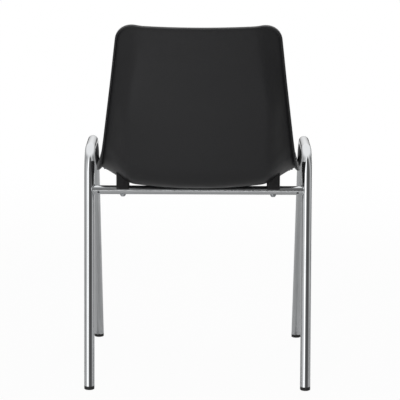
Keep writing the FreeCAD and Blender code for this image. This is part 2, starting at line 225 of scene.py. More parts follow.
class FrameSizes(bpy.types.PropertyGroup):
    tube_od: FloatProperty(name="Tube", description="Outside diameter of the side frames",
                           default=22.0 * MM, unit="LENGTH")
    tube_wall: FloatProperty(name="Tube wall", description="Wall of the crossbar",
                             default=1.5 * MM, unit="LENGTH")
    bend_radius: FloatProperty(name="Bend", description="Centre-line radius of the frame's bends",
                               default=60.0 * MM, unit="LENGTH")
    bar_od: FloatProperty(name="Crossbar", description="Outside diameter of the rear crossbar",
                          default=19.0 * MM, unit="LENGTH")
    bar_height: FloatProperty(name="Crossbar height", description="Height of the crossbar's axis",
                              default=415.0 * MM, unit="LENGTH")
    weld_size: FloatProperty(name="Weld", description="Size of the weld bead",
                             default=1.8 * MM, unit="LENGTH")
    vent_hole: FloatProperty(name="Vent hole", description="Diameter of the plating vents in the crossbar",
                             default=5.0 * MM, unit="LENGTH")
    vent_from_leg: FloatProperty(name="Vent place", description="Distance of a vent from the leg",
                                 default=9.0 * MM, unit="LENGTH")
    foot_cap: FloatProperty(name="Foot cap", description="Height of a foot below its tube",
                            default=7.5 * MM, unit="LENGTH")
    foot_edge: FloatProperty(name="Foot edge", description="Rounding of the sole",
                             default=1.4 * MM, unit="LENGTH")
    sides: IntProperty(name="Sides", description="Faces round a tube", default=64)


class FixingSizes(bpy.types.PropertyGroup):
    leg_screw_height: FloatProperty(name="Leg screw height", description="Height of the front legs' screws",
                                    default=436.0 * MM, unit="LENGTH")
    boss_od: FloatProperty(name="Boss", description="Diameter of a boss inside the shell",
                           default=14.0 * MM, unit="LENGTH")
    boss_reach: FloatProperty(name="Boss reach", description="How far a boss stands in from the skirt",
                              default=15.0 * MM, unit="LENGTH")
    web: FloatProperty(name="Web", description="Thickness of the web that braces a boss",
                       default=3.0 * MM, unit="LENGTH")
    web_height: FloatProperty(name="Web height", description="Height of the web that braces a boss",
                              default=20.0 * MM, unit="LENGTH")
    block_edge: FloatProperty(name="Block edge", description="Edge rounding of a mounting block",
                              default=0.8 * MM, unit="LENGTH")


class Finishes(bpy.types.PropertyGroup):
    shell: FloatVectorProperty(name="Shell", description="Black of the moulded shell", subtype="COLOR",
                               default=linear("#1d1d1e"))
    block: FloatVectorProperty(name="Blocks", description="Black of the small mouldings", subtype="COLOR",
                               default=linear("#0d0d0e"))
    rubber: FloatVectorProperty(name="Feet", description="Black of the rubber feet", subtype="COLOR",
                                default=linear("#1d1d1d"))
    chrome: FloatVectorProperty(name="Chrome", description="Tint of the chrome plate", subtype="COLOR",
                                default=linear("#e9ebed"))
    zinc: FloatVectorProperty(name="Zinc", description="Tint of the zinc-plated screws", subtype="COLOR",
                              default=linear("#c3c6c9"))
    brass: FloatVectorProperty(name="Brass", description="Tint of the brass inserts", subtype="COLOR",
                               default=linear("#d8b25e"))


# Materials

def add_node(tree, kind, settings=None, inputs=None, links=None):
    """Adds a node with its settings, socket values and incoming links."""
    node = tree.nodes.new(kind)
    for name, value in (settings or {}).items():
        setattr(node, name, value)
    for name, value in (inputs or {}).items():
        node.inputs[name].default_value = value
    for name, socket in (links or {}).items():
        tree.links.new(socket, node.inputs[name])
    return node


def new_material(name):
    """A new material, its node tree and its output; or the one already made, and None twice."""
    found = bpy.data.materials.get(name)
    if found:
        return found, None, None
    material = bpy.data.materials.new(name)
    material.use_nodes = True
    tree = material.node_tree
    tree.nodes.clear()
    output = add_node(tree, "ShaderNodeOutputMaterial")
    return material, tree, output


def polypropylene(name, colour, grain):
    """Injection-moulded black polypropylene: a fine spark-eroded grain breaks up a soft, broad sheen."""
    material, tree, output = new_material(name)
    if tree is None:
        return material
    place_on = add_node(tree, "ShaderNodeTexCoord").outputs["Object"]
    # The real grain is about 0.6 mm; it is drawn 1.6 mm wide so that it shows in the picture
    grains = add_node(tree, "ShaderNodeTexNoise", {},
                      {"Scale": 1.0 / (1.6 * MM), "Detail": 3.0, "Roughness": 0.55}, {"Vector": place_on})
    clouds = add_node(tree, "ShaderNodeTexNoise", {},
                      {"Scale": 1.0 / (34.0 * MM), "Detail": 2.0}, {"Vector": place_on})
    tone = add_node(tree, "ShaderNodeMapRange", {},
                    {"From Min": 0.3, "From Max": 0.7, "To Min": 0.82, "To Max": 1.2},
                    {"Value": grains.outputs["Fac"]})
    shade = add_node(tree, "ShaderNodeMix", {"data_type": "RGBA", "blend_type": "MULTIPLY"},
                     {"Factor": 1.0, "A": (*colour, 1.0)}, {"B": tone.outputs["Result"]})
    sheen = add_node(tree, "ShaderNodeMapRange", {},
                     {"From Min": 0.3, "From Max": 0.7, "To Min": 0.33, "To Max": 0.42},
                     {"Value": clouds.outputs["Fac"]})
    bump = add_node(tree, "ShaderNodeBump", {}, {"Strength": grain, "Distance": 0.12 * MM},
                    {"Height": grains.outputs["Fac"]})
    shader = add_node(tree, "ShaderNodeBsdfPrincipled", {}, {"IOR": 1.49, "Specular IOR Level": 0.36},
                      {"Base Color": shade.outputs["Result"], "Roughness": sheen.outputs["Result"],
                       "Normal": bump.outputs["Normal"]})
    tree.links.new(shader.outputs["BSDF"], output.inputs["Surface"])
    return material


def metal(name, colour, low, high, patch, scratch):
    """A bare or plated metal whose gloss drifts a little over patches of this size."""
    material, tree, output = new_material(name)
    if tree is None:
        return material
    place_on = add_node(tree, "ShaderNodeTexCoord").outputs["Object"]
    clouds = add_node(tree, "ShaderNodeTexNoise", {}, {"Scale": 1.0 / patch, "Detail": 4.0},
                      {"Vector": place_on})
    gloss = add_node(tree, "ShaderNodeMapRange", {},
                     {"From Min": 0.3, "From Max": 0.75, "To Min": low, "To Max": high},
                     {"Value": clouds.outputs["Fac"]})
    tint = add_node(tree, "ShaderNodeMapRange", {},
                    {"From Min": 0.3, "From Max": 0.75, "To Min": 1.0, "To Max": 0.93},
                    {"Value": clouds.outputs["Fac"]})
    shade = add_node(tree, "ShaderNodeMix", {"data_type": "RGBA", "blend_type": "MULTIPLY"},
                     {"Factor": 1.0, "A": (*colour, 1.0)}, {"B": tint.outputs["Result"]})
    bump = add_node(tree, "ShaderNodeBump", {}, {"Strength": scratch, "Distance": 0.02 * MM},
                    {"Height": clouds.outputs["Fac"]})
    shader = add_node(tree, "ShaderNodeBsdfPrincipled", {}, {"Metallic": 1.0},
                      {"Base Color": shade.outputs["Result"], "Roughness": gloss.outputs["Result"],
                       "Normal": bump.outputs["Normal"]})
    tree.links.new(shader.outputs["BSDF"], output.inputs["Surface"])
    return material


def shell_plastic(finishes):
    return polypropylene("moulded polypropylene", finishes.shell, 0.35)


def block_plastic(finishes):
    return polypropylene("moulded nylon", finishes.block, 0.2)


def chrome_plate(finishes):
    """Bright nickel-chrome plate on polished tube: a clean mirror with faint handling haze."""
    return metal("bright chrome plate", finishes.chrome, 0.035, 0.075, 45.0 * MM, 0.05)


def zinc_plate(finishes):
    """Zinc-plated steel: grey and softly cloudy."""
    return metal("zinc plated steel", finishes.zinc, 0.28, 0.42, 3.0 * MM, 0.3)


def turned_brass(finishes):
    return metal("turned brass", finishes.brass, 0.2, 0.32, 2.0 * MM, 0.2)


def rubber(finishes):
    """Moulded rubber: matt, dusty black with a faint sheen at its edge."""
    material, tree, output = new_material("moulded rubber")
    if tree is None:
        return material
    place_on = add_node(tree, "ShaderNodeTexCoord").outputs["Object"]
    dust = add_node(tree, "ShaderNodeTexNoise", {}, {"Scale": 1.0 / (4.0 * MM), "Detail": 5.0},
                    {"Vector": place_on})
    tone = add_node(tree, "ShaderNodeMapRange", {},
                    {"From Min": 0.3, "From Max": 0.7, "To Min": 0.8, "To Max": 1.35},
                    {"Value": dust.outputs["Fac"]})
    shade = add_node(tree, "ShaderNodeMix", {"data_type": "RGBA", "blend_type": "MULTIPLY"},
                     {"Factor": 1.0, "A": (*finishes.rubber, 1.0)}, {"B": tone.outputs["Result"]})
    bump = add_node(tree, "ShaderNodeBump", {}, {"Strength": 0.3, "Distance": 0.1 * MM},
                    {"Height": dust.outputs["Fac"]})
    shader = add_node(tree, "ShaderNodeBsdfPrincipled", {},
                      {"Roughness": 0.62, "IOR": 1.52, "Sheen Weight": 0.08},
                      {"Base Color": shade.outputs["Result"], "Normal": bump.outputs["Normal"]})
    tree.links.new(shader.outputs["BSDF"], output.inputs["Surface"])
    return material


# Pieces

def finish_piece(name, bm, material, replaced, sharp_degrees=180.0):
    """Turns a bmesh into a smooth-shaded piece that rides on the chair's one body."""
    mesh = bpy.data.meshes.new(name)
    bm.to_mesh(mesh)
    bm.free()
    mesh.shade_smooth()
    if sharp_degrees < 180.0:
        mesh.set_sharp_from_angle(angle=math.radians(sharp_degrees))
    mesh.materials.append(material)
    piece = bpy.data.objects.new(name, mesh)
    bpy.context.scene.collection.objects.link(piece)
    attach(piece, "root")
    if replaced:
        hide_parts(*replaced)
    return piece


def mirror_bmesh(bm):
    """The same shape on the other side of the chair, its faces turned to point outwards again."""
    bmesh.ops.scale(bm, vec=(-1.0, 1.0, 1.0), verts=bm.verts)
    bmesh.ops.reverse_faces(bm, faces=bm.faces)


def apply_modifiers(piece):
    """Keeps what the piece's modifiers make as its own mesh."""
    graph = bpy.context.evaluated_depsgraph_get()
    made = bpy.data.meshes.new_from_object(piece.evaluated_get(graph))
    piece.modifiers.clear()
    old = piece.data
    piece.data = made
    bpy.data.meshes.remove(old)


def break_edges(piece, width):
    """Rounds the piece's sharp edges and keeps what all its modifiers make."""
    edge = piece.modifiers.new("Edge break", "BEVEL")
    edge.width = width
    edge.segments = 2
    edge.limit_method = "ANGLE"
    edge.angle_limit = math.radians(ROUNDED_FROM)
    apply_modifiers(piece)


def extruded(bm, edges):
    """Extrudes edges where they are, and returns the new edges and their vertices."""
    made = bmesh.ops.extrude_edge_only(bm, edges=edges)["geom"]
    verts = [item for item in made if isinstance(item, bmesh.types.BMVert)]
    fresh = set(verts)
    edges = [item for item in made
             if isinstance(item, bmesh.types.BMEdge) and all(vert in fresh for vert in item.verts)]
    return edges, verts


class Runs:
    """A side-view line made of tangent runs, each a straight line or an arc."""

    def __init__(self, start, runs):
        self.runs = runs
        self.starts = []
        for run in runs:
            self.starts.append(start)
            start = self.along(start, run, 1.0)

    @staticmethod
    def along(start, run, fraction):
        length, first, last = run
        a = math.radians(first)
        b = math.radians(first + (last - first) * fraction)
        if abs(b - a) < 1e-9:
            back = length * fraction * math.sin(a)
            up = length * fraction * math.cos(a)
        else:
            radius = length / math.radians(last - first)
            back = radius * (math.cos(a) - math.cos(b))
            up = radius * (math.sin(b) - math.sin(a))
        return (start[0] - back, start[1] + up)

    def at(self, number, fraction):
        return self.along(self.starts[number], self.runs[number], fraction)

    def heading(self, number, fraction):
        _, first, last = self.runs[number]
        return math.radians(first + (last - first) * fraction)


CENTRE = Runs(LIP_BOTTOM, CENTRE_RUNS)
RIM = Runs(RIM_LIP_BOTTOM, RIM_RUNS)
SHELL_LENGTH = sum(run[0] for run in CENTRE_RUNS)


class Section:
    """One cross-section of the shell, this far along its centre line in mm."""

    def __init__(self, along):
        number = 0
        while number < len(CENTRE_RUNS) - 1 and along > CENTRE_RUNS[number][0]:
            along -= CENTRE_RUNS[number][0]
            number += 1
        fraction = along / CENTRE_RUNS[number][0]
        held = min(max(fraction, 0.0), 1.0)
        self.centre = CENTRE.at(number, fraction)
        self.rim = RIM.at(number, fraction)
        heading = RIM.heading(number, held)
        self.outward = Vector((0.0, math.cos(heading), -math.sin(heading)))
        self.half_width = between(HALF_WIDTHS, number, held)
        eased = held * held if number == SWEEP_RUN else held
        self.depth = between(FLANGE_DEPTHS, number, eased)
        self.crown = between(CROWN_SHARES, number, smooth(held))
        self.wing = between(WING_STARTS, number, smooth(held))

    def rise(self, share):
        wing = smooth((abs(share) - self.wing) / (1.0 - self.wing))
        return self.crown * share * share + (1.0 - self.crown) * wing

    def point(self, x):
        """A point at x (in mm) on the sitting surface, in metres."""
        rise = self.rise(x / self.half_width)
        forward = self.centre[0] + rise * (self.rim[0] - self.centre[0])
        height = self.centre[1] + rise * (self.rim[1] - self.centre[1])
        return place(x * MM, forward * MM, height * MM)


def shell_grid(sizes):
    """The sitting surface as a grid, stopped short of its edge by the rim's rounding."""
    bm = bmesh.new()
    rows = sizes.rows + sizes.corner_rows
    bmesh.ops.create_grid(bm, x_segments=sizes.columns, y_segments=rows, size=1.0)
    inset = sizes.rim_round / MM
    corner = sizes.top_corner / MM - inset
    top = SHELL_LENGTH - inset
    # The rim's line ends lower than the middle's, so the sides are stretched up towards the top edge
    end = Section(SHELL_LENGTH)
    climb = Vector((0.0, -end.centre[0], end.centre[1])) - Vector((0.0, -end.rim[0], end.rim[1]))
    fall = climb.dot(Vector((0.0, -end.outward.z, end.outward.y)))
    flange = {}
    for vert in bm.verts:
        share = vert.co.x
        row = round((vert.co.y + 1.0) / 2.0 * rows)
        if row <= sizes.rows:
            along = (top - corner) * row / sizes.rows
            short = 0.0
        else:
            turn = math.pi / 2.0 * (rows - row) / sizes.corner_rows
            along = top - corner + corner * math.cos(turn)
            short = corner * (1.0 - math.sin(turn))
        section = Section(along)
        x = share * (section.half_width - inset - short)
        rise = section.rise(x / section.half_width)
        level = fall * rise - sizes.top_crown / MM * (x / end.half_width) ** 2
        stretched = Section(along + level * smooth((along - top + CROWN_BLEND) / CROWN_BLEND))
        vert.co = stretched.point(x)
        flange[vert] = (stretched.outward, stretched.depth * MM)
    return bm, flange


def outward_directions(bm, edges):
    """For each vertex on these boundary edges, the direction out of the surface across its edge."""
    beside = {}
    for edge in edges:
        for vert in edge.verts:
            beside.setdefault(vert, []).append(edge.other_vert(vert).co)
    away = {}
    for vert, ends in beside.items():
        along = (ends[0] - (ends[1] if len(ends) > 1 else vert.co)).normalized()
        across = along.cross(vert.normal).normalized()
        inside = sum((face.calc_center_median() for face in vert.link_faces), Vector())
        inside /= len(vert.link_faces)
        away[vert] = across if across.dot(vert.co - inside) > 0.0 else -across
    return away


def turn_rim(bm, flange, sizes):
    """Rounds the sides and top over and turns them back as a flange, leaving the lip's edge open."""
    bm.normal_update()
    lip = LIP_BOTTOM[1] * MM + 2.0 * sizes.rim_round
    edges = [edge for edge in bm.edges
             if edge.is_boundary and max(vert.co.z for vert in edge.verts) > lip]
    away = outward_directions(bm, edges)
    starts = {vert: vert.co.copy() for vert in away}
    source = {vert: vert for vert in away}
    turns = [math.pi / 2.0 * (step + 1) / RIM_STEPS for step in range(RIM_STEPS)]
    moves = [(math.sin(turn), 1.0 - math.cos(turn), 0.0) for turn in turns]
    moves += [(1.0, 1.0, 0.5), (1.0, 1.0, 1.0)]
    for out, down, deep in moves:
        edges, verts = extruded(bm, edges)
        followed = {}
        for vert in verts:
            below = [edge.other_vert(vert) for edge in vert.link_edges]
            followed[vert] = next(source[other] for other in below if other in source)
        for vert, first in followed.items():
            direction, depth = flange[first]
            back = sizes.rim_round * down + (depth - sizes.rim_round) * deep
            vert.co = starts[first] + away[first] * (sizes.rim_round * out) + direction * back
        source = followed


class CHOIR_OT_shell(bpy.types.Operator):
    """Model the one-piece moulded shell with its turned rim and rolled front lip"""
    bl_idname = "choir.shell"
    bl_label = "Seat shell"

    def execute(self, context):
        sizes = context.scene.choir_shell
        bm, flange = shell_grid(sizes)
        turn_rim(bm, flange, sizes)
        bmesh.ops.recalc_face_normals(bm, faces=bm.faces)
        seat = place(0.0, *SEAT_MIDDLE)
        middle = min(bm.faces, key=lambda face: (face.calc_center_median() - seat).length)
        if middle.normal.z < 0.0:
            bmesh.ops.reverse_faces(bm, faces=bm.faces)
        piece = finish_piece("moulded_shell", bm, shell_plastic(context.scene.choir_finish),
                             ["seat_shell"])
        wall = piece.modifiers.new("Wall", "SOLIDIFY")
        wall.thickness = sizes.wall
        wall.offset = -1.0
        wall.use_even_offset = True
        break_edges(piece, sizes.edge_break)
        return {"FINISHED"}


def leg_direction(front):
    """The way up along a left leg."""
    return (leg_point(0.4, front) - leg_point(0.0, front)).normalized()


def turn_to(axis):
    """The turn that stands a shape made along Z on this axis."""
    return Vector((0.0, 0.0, 1.0)).rotation_difference(axis).to_matrix().to_4x4()


def extrude_ring(bm, edges, move):
    """Extrudes a ring of edges by a move and returns the new ring's edges and vertices."""
    edges, verts = extruded(bm, edges)
    bmesh.ops.translate(bm, vec=move, verts=verts)
    return edges, verts


def frame_tube(sizes, bottom):
    """One left side frame: rear leg, bend, short top, bend and front leg, cut level above its feet."""
    bm = bmesh.new()
    radius = sizes.tube_od / 2.0
    height = FRAME_TOP - radius
    corners = [leg_point(height, False), leg_point(height, True)]
    axis = leg_direction(False)
    # The first ring stands clear of the floor, and is cut level last
    centre = leg_point(bottom * 4.0, False)
    first = bmesh.ops.create_circle(bm, segments=sizes.sides, radius=radius,
                                    matrix=Matrix.Translation(centre) @ turn_to(axis))["verts"]
    ring = list(bm.edges)
    ends = [corners[0], corners[1], leg_point(bottom, True)]
    for corner, after in zip(ends, ends[1:]):
        inward = (centre - corner).normalized()
        onward = (after - corner).normalized()
        half = inward.angle(onward) / 2.0
        reach = sizes.bend_radius / math.tan(half)
        middle = corner + (inward + onward).normalized() * (sizes.bend_radius / math.sin(half))
        leg_end = corner + inward * reach
        ring, _ = extrude_ring(bm, ring, leg_end - centre)
        hinge = onward.cross(inward).normalized()
        spun = bmesh.ops.spin(bm, geom=ring + list({vert for edge in ring for vert in edge.verts}),
                              cent=middle, axis=hinge, angle=math.pi - 2.0 * half, steps=BEND_STEPS,
                              use_merge=False)["geom_last"]
        ring = [item for item in spun if isinstance(item, bmesh.types.BMEdge)]
        verts = {vert for edge in ring for vert in edge.verts}
        centre = sum((vert.co for vert in verts), Vector()) / len(verts)
        if (centre - (corner + onward * reach)).length > radius:
            raise ValueError("a bend of the side frame turned the wrong way")
    _, last = extrude_ring(bm, ring, leg_point(bottom, True) - centre)
    for verts, line in ((first, axis), (last, leg_direction(True))):
        for vert in verts:
            vert.co -= line * ((vert.co.z - bottom) / line.z)
    bmesh.ops.holes_fill(bm, edges=[edge for edge in bm.edges if edge.is_boundary], sides=0)
    bmesh.ops.recalc_face_normals(bm, faces=bm.faces)
    return bm


class CHOIR_OT_side_frames(bpy.types.Operator):
    """Bend the two chromed side frames, one round tube each"""
    bl_idname = "choir.side_frames"
    bl_label = "Side frames"

    def execute(self, context):
        sizes = context.scene.choir_frame
        chrome = chrome_plate(context.scene.choir_finish)
        for side in ("left", "right"):
            bm = frame_tube(sizes, sizes.foot_cap)
            if side == "right":
                mirror_bmesh(bm)
            finish_piece(side + "_frame_tube", bm, chrome, [side + "_side_frame"],
                         SHARP_TUBE)
        return {"FINISHED"}


def leg_surface_x(spot, radius):
    """Where a rear left leg of this radius begins, seen along X at the spot's run and height."""
    axis = leg_point(spot.z, False)
    across = (spot.y - axis.y) * math.cos(LEG_TILT)
    return axis.x - math.sqrt(max(radius * radius - across * across, 0.0))


def crossbar_axis(sizes):
    """Where the crossbar's axis lies, along Y and Z."""
    axis = leg_point(sizes.bar_height, False)
    return axis.y, axis.z


def crossbar_tube(sizes):
    """The crossbar as a thick tube, its ends cut to the round of the rear legs."""
    bm = bmesh.new()
    y, z = crossbar_axis(sizes)
    half = leg_point(sizes.bar_height, False).x
    radius = sizes.bar_od / 2.0
    stand = Matrix.Translation((-half, y, z)) @ turn_to(ACROSS)
    ends = [bmesh.ops.create_circle(bm, segments=sizes.sides, radius=radius, matrix=stand)["verts"]]
    ring = list(bm.edges)
    for _ in range(BAR_LENGTHS):
        ring, verts = extrude_ring(bm, ring, Vector((2.0 * half / BAR_LENGTHS, 0.0, 0.0)))
    ends.append(verts)
    for verts in ends:
        for vert in verts:
            reach = leg_surface_x(vert.co, sizes.tube_od / 2.0)
            vert.co.x = math.copysign(reach, vert.co.x)
    bmesh.ops.recalc_face_normals(bm, faces=bm.faces)
    sample = next(iter(bm.faces))
    middle = sample.calc_center_median()
    if sample.normal.dot(middle - Vector((middle.x, y, z))) < 0.0:
        bmesh.ops.reverse_faces(bm, faces=bm.faces)
    return bm


def drilled(piece, spots, axis, diameter, depth):
    """Drills round holes along an axis into a piece at these spots."""
    bm = bmesh.new()
    for spot in spots:
        bmesh.ops.create_cone(bm, cap_ends=True, segments=VENT_SIDES, radius1=diameter / 2.0,
                              radius2=diameter / 2.0, depth=2.0 * depth,
                              matrix=Matrix.Translation(spot) @ turn_to(axis))
    mesh = bpy.data.meshes.new("drill")
    bm.to_mesh(mesh)
    bm.free()
    drill = bpy.data.objects.new("drill", mesh)
    bpy.context.scene.collection.objects.link(drill)
    cut = piece.modifiers.new("Holes", "BOOLEAN")
    cut.operation = "DIFFERENCE"
    cut.solver = "EXACT"
    cut.object = drill
    apply_modifiers(piece)
    bpy.data.objects.remove(drill)
    bpy.data.meshes.remove(mesh)


def weld_bead(name, sizes, side, chrome):
    """A rippled weld bead that follows the joint between the crossbar and a rear leg."""
    y, z = crossbar_axis(sizes)
    curve = bpy.data.curves.new(name, "CURVE")
    curve.dimensions = "3D"
    curve.bevel_depth = sizes.weld_size * WELD_BEAD
    curve.bevel_resolution = 4
    line = curve.splines.new("POLY")
    line.points.add(WELD_POINTS - 1)
    line.use_cyclic_u = True
    out = sizes.weld_size * WELD_OUT
    radius = sizes.bar_od / 2.0 + out
    for number, point in enumerate(line.points):
        turn = 2.0 * math.pi * number / WELD_POINTS
        spot = Vector((0.0, y + radius * math.cos(turn), z + radius * math.sin(turn)))
        x = leg_surface_x(spot, sizes.tube_od / 2.0 + out)
        point.co = (side * x, spot.y, spot.z, 1.0)
        point.radius = 1.0 + WELD_RIPPLE_DEPTH * math.cos(turn * WELD_RIPPLES)
    shape = bpy.data.objects.new(name, curve)
    bpy.context.scene.collection.objects.link(shape)
    mesh = bpy.data.meshes.new_from_object(shape.evaluated_get(bpy.context.evaluated_depsgraph_get()))
    bpy.data.objects.remove(shape)
    bpy.data.curves.remove(curve)
    bm = bmesh.new()
    bm.from_mesh(mesh)
    bpy.data.meshes.remove(mesh)
    bmesh.ops.recalc_face_normals(bm, faces=bm.faces)
    return finish_piece(name, bm, chrome, [])


class CHOIR_OT_crossbar(bpy.types.Operator):
    """Make the rear crossbar with its vent holes and weld beads"""
    bl_idname = "choir.crossbar"
    bl_label = "Rear crossbar"

    def execute(self, context):
        sizes = context.scene.choir_frame
        chrome = chrome_plate(context.scene.choir_finish)
        piece = finish_piece("crossbar_tube", crossbar_tube(sizes), chrome,
                             ["rear_crossbar"], SHARP_TUBE)
        wall = piece.modifiers.new("Wall", "SOLIDIFY")
        wall.thickness = sizes.tube_wall
        wall.offset = -1.0
        apply_modifiers(piece)
        y, z = crossbar_axis(sizes)
        reach = leg_point(sizes.bar_height, False).x - sizes.tube_od / 2.0 - sizes.vent_from_leg
        axis = Vector((0.0, math.cos(VENT_DROP), -math.sin(VENT_DROP)))
        spots = [Vector((side * reach, y, z)) + axis * (sizes.bar_od / 2.0) for side in (-1.0, 1.0)]
        drilled(piece, spots, axis, sizes.vent_hole, VENT_DEPTH)
        piece.data.set_sharp_from_angle(angle=math.radians(SHARP_TUBE))
        for name, side in (("left_weld", 1.0), ("right_weld", -1.0)):
            weld_bead(name, sizes, side, chrome)
        return {"FINISHED"}


def foot_shape(sizes, front):
    """A rubber foot: flush with its tube, with a flat sole whose edge is rounded."""
    bm = bmesh.new()
    axis = leg_direction(front)
    base = leg_point(0.0, front)
    made = bmesh.ops.create_circle(bm, segments=sizes.sides, radius=sizes.tube_od / 2.0, cap_ends=True)
    verts = made["verts"]
    bmesh.ops.scale(bm, vec=(1.0, 1.0 / math.cos(LEG_TILT), 1.0), verts=verts)
    bmesh.ops.translate(bm, vec=base, verts=verts)
    sole = list(bm.faces)
    made = bmesh.ops.extrude_face_region(bm, geom=sole)["geom"]
    top = [item for item in made if isinstance(item, bmesh.types.BMVert)]
    bmesh.ops.translate(bm, vec=axis * (sizes.foot_cap / axis.z), verts=top)
    edges = [edge for edge in bm.edges if max(vert.co.z for vert in edge.verts) < sizes.foot_cap / 2.0]
    bmesh.ops.recalc_face_normals(bm, faces=bm.faces)
    bmesh.ops.bevel(bm, geom=edges, offset=sizes.foot_edge, offset_type="OFFSET", segments=4,
                    profile=0.5, affect="EDGES", material=-1)
    bmesh.ops.recalc_face_normals(bm, faces=bm.faces)
    return bm


class CHOIR_OT_feet(bpy.types.Operator):
    """Fit the four rubber feet"""
    bl_idname = "choir.feet"
    bl_label = "Feet"

    def execute(self, context):
        sizes = context.scene.choir_frame
        black = rubber(context.scene.choir_finish)
        for end, front in (("rear", False), ("front", True)):
            for side in ("left", "right"):
                bm = foot_shape(sizes, front)
                if side == "right":
                    mirror_bmesh(bm)
                name = f"{end}_{side}_foot"
                finish_piece(name + "_cap", bm, black, [name], SHARP_FOOT)
        return {"FINISHED"}


def merged_copy(node):
    """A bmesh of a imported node, its loose triangles merged and its flat faces joined."""
    bm = bmesh.new()
    bm.from_mesh(NODES[node].data)
    bmesh.ops.remove_doubles(bm, verts=bm.verts, dist=0.001 * MM)
    bmesh.ops.dissolve_limit(bm, angle_limit=math.radians(1.0), verts=bm.verts, edges=bm.edges)
    return bm


def raise_to_shell(bm, level):
    """Raises the top of a block, all that lies above this level, into the underside of the shell."""
    shell = BVHTree.FromObject(bpy.data.objects["moulded_shell"], bpy.context.evaluated_depsgraph_get())
    for vert in bm.verts:
        if vert.co.z > level:
            start = Vector((vert.co.x, vert.co.y, level))
            spot = shell.ray_cast(start, Vector((0.0, 0.0, 1.0)))[0]
            if spot:
                vert.co.z = spot.z + BLOCK_BITE


def skirt_boss(sizes):
    """The boss and web inside the left skirt that carry the front leg's insert."""
    bm = bmesh.new()
    height = sizes.leg_screw_height
    wall = HALF_WIDTHS[SEAT_RUN] * MM
    run = FOOT_SPREAD - height * math.tan(LEG_TILT)
    end = place(wall - sizes.boss_reach, run, height)
    bmesh.ops.create_circle(bm, segments=BOSS_SIDES, radius=sizes.boss_od / 2.0, cap_ends=True,
                            matrix=Matrix.Translation(end) @ turn_to(ACROSS))
    extrude_ring(bm, list(bm.edges), ACROSS * (sizes.boss_reach - BOSS_SHORT))
    bmesh.ops.holes_fill(bm, edges=[edge for edge in bm.edges if edge.is_boundary], sides=0)
    web = bmesh.ops.create_cube(bm, size=1.0)["verts"]
    bmesh.ops.scale(bm, vec=(sizes.boss_reach - 2.0 * BOSS_SHORT, sizes.web, sizes.web_height), verts=web)
    bmesh.ops.translate(bm, vec=end + ACROSS * (sizes.boss_reach / 2.0), verts=web)
    bmesh.ops.recalc_face_normals(bm, faces=bm.faces)
    return bm


class CHOIR_OT_blocks(bpy.types.Operator):
    """Dress the two mounting blocks and the bosses inside the shell's skirts"""
    bl_idname = "choir.blocks"
    bl_label = "Mounting blocks"

    def execute(self, context):
        sizes = context.scene.choir_fixing
        black = block_plastic(context.scene.choir_finish)
        plastic = shell_plastic(context.scene.choir_finish)
        for side in ("left", "right"):
            node = side + "_mounting_block"
            bm = merged_copy(node)
            raise_to_shell(bm, BAR_TOP + BLOCK_CLEAR)
            piece = finish_piece(side + "_saddle_block", bm, black, [node], SHARP_BLOCK)
            break_edges(piece, sizes.block_edge)
            bm = skirt_boss(sizes)
            if side == "right":
                mirror_bmesh(bm)
            finish_piece(side + "_skirt_boss", bm, plastic, [], SHARP_TUBE)
        return {"FINISHED"}


class CHOIR_OT_fastenings(bpy.types.Operator):
    """Finish the screws, washers, spacers and inserts"""
    bl_idname = "choir.fastenings"
    bl_label = "Fastenings"

    def execute(self, context):
        finishes = context.scene.choir_finish
        looks = {"screw": zinc_plate(finishes), "washer": zinc_plate(finishes),
                 "insert": turned_brass(finishes), "spacer": block_plastic(finishes)}
        for name, node in NODES.items():
            kind = name.rsplit("_", 1)[-1]
            if kind in looks:
                node.material_slots[0].material = looks[kind]
        return {"FINISHED"}


# Stage

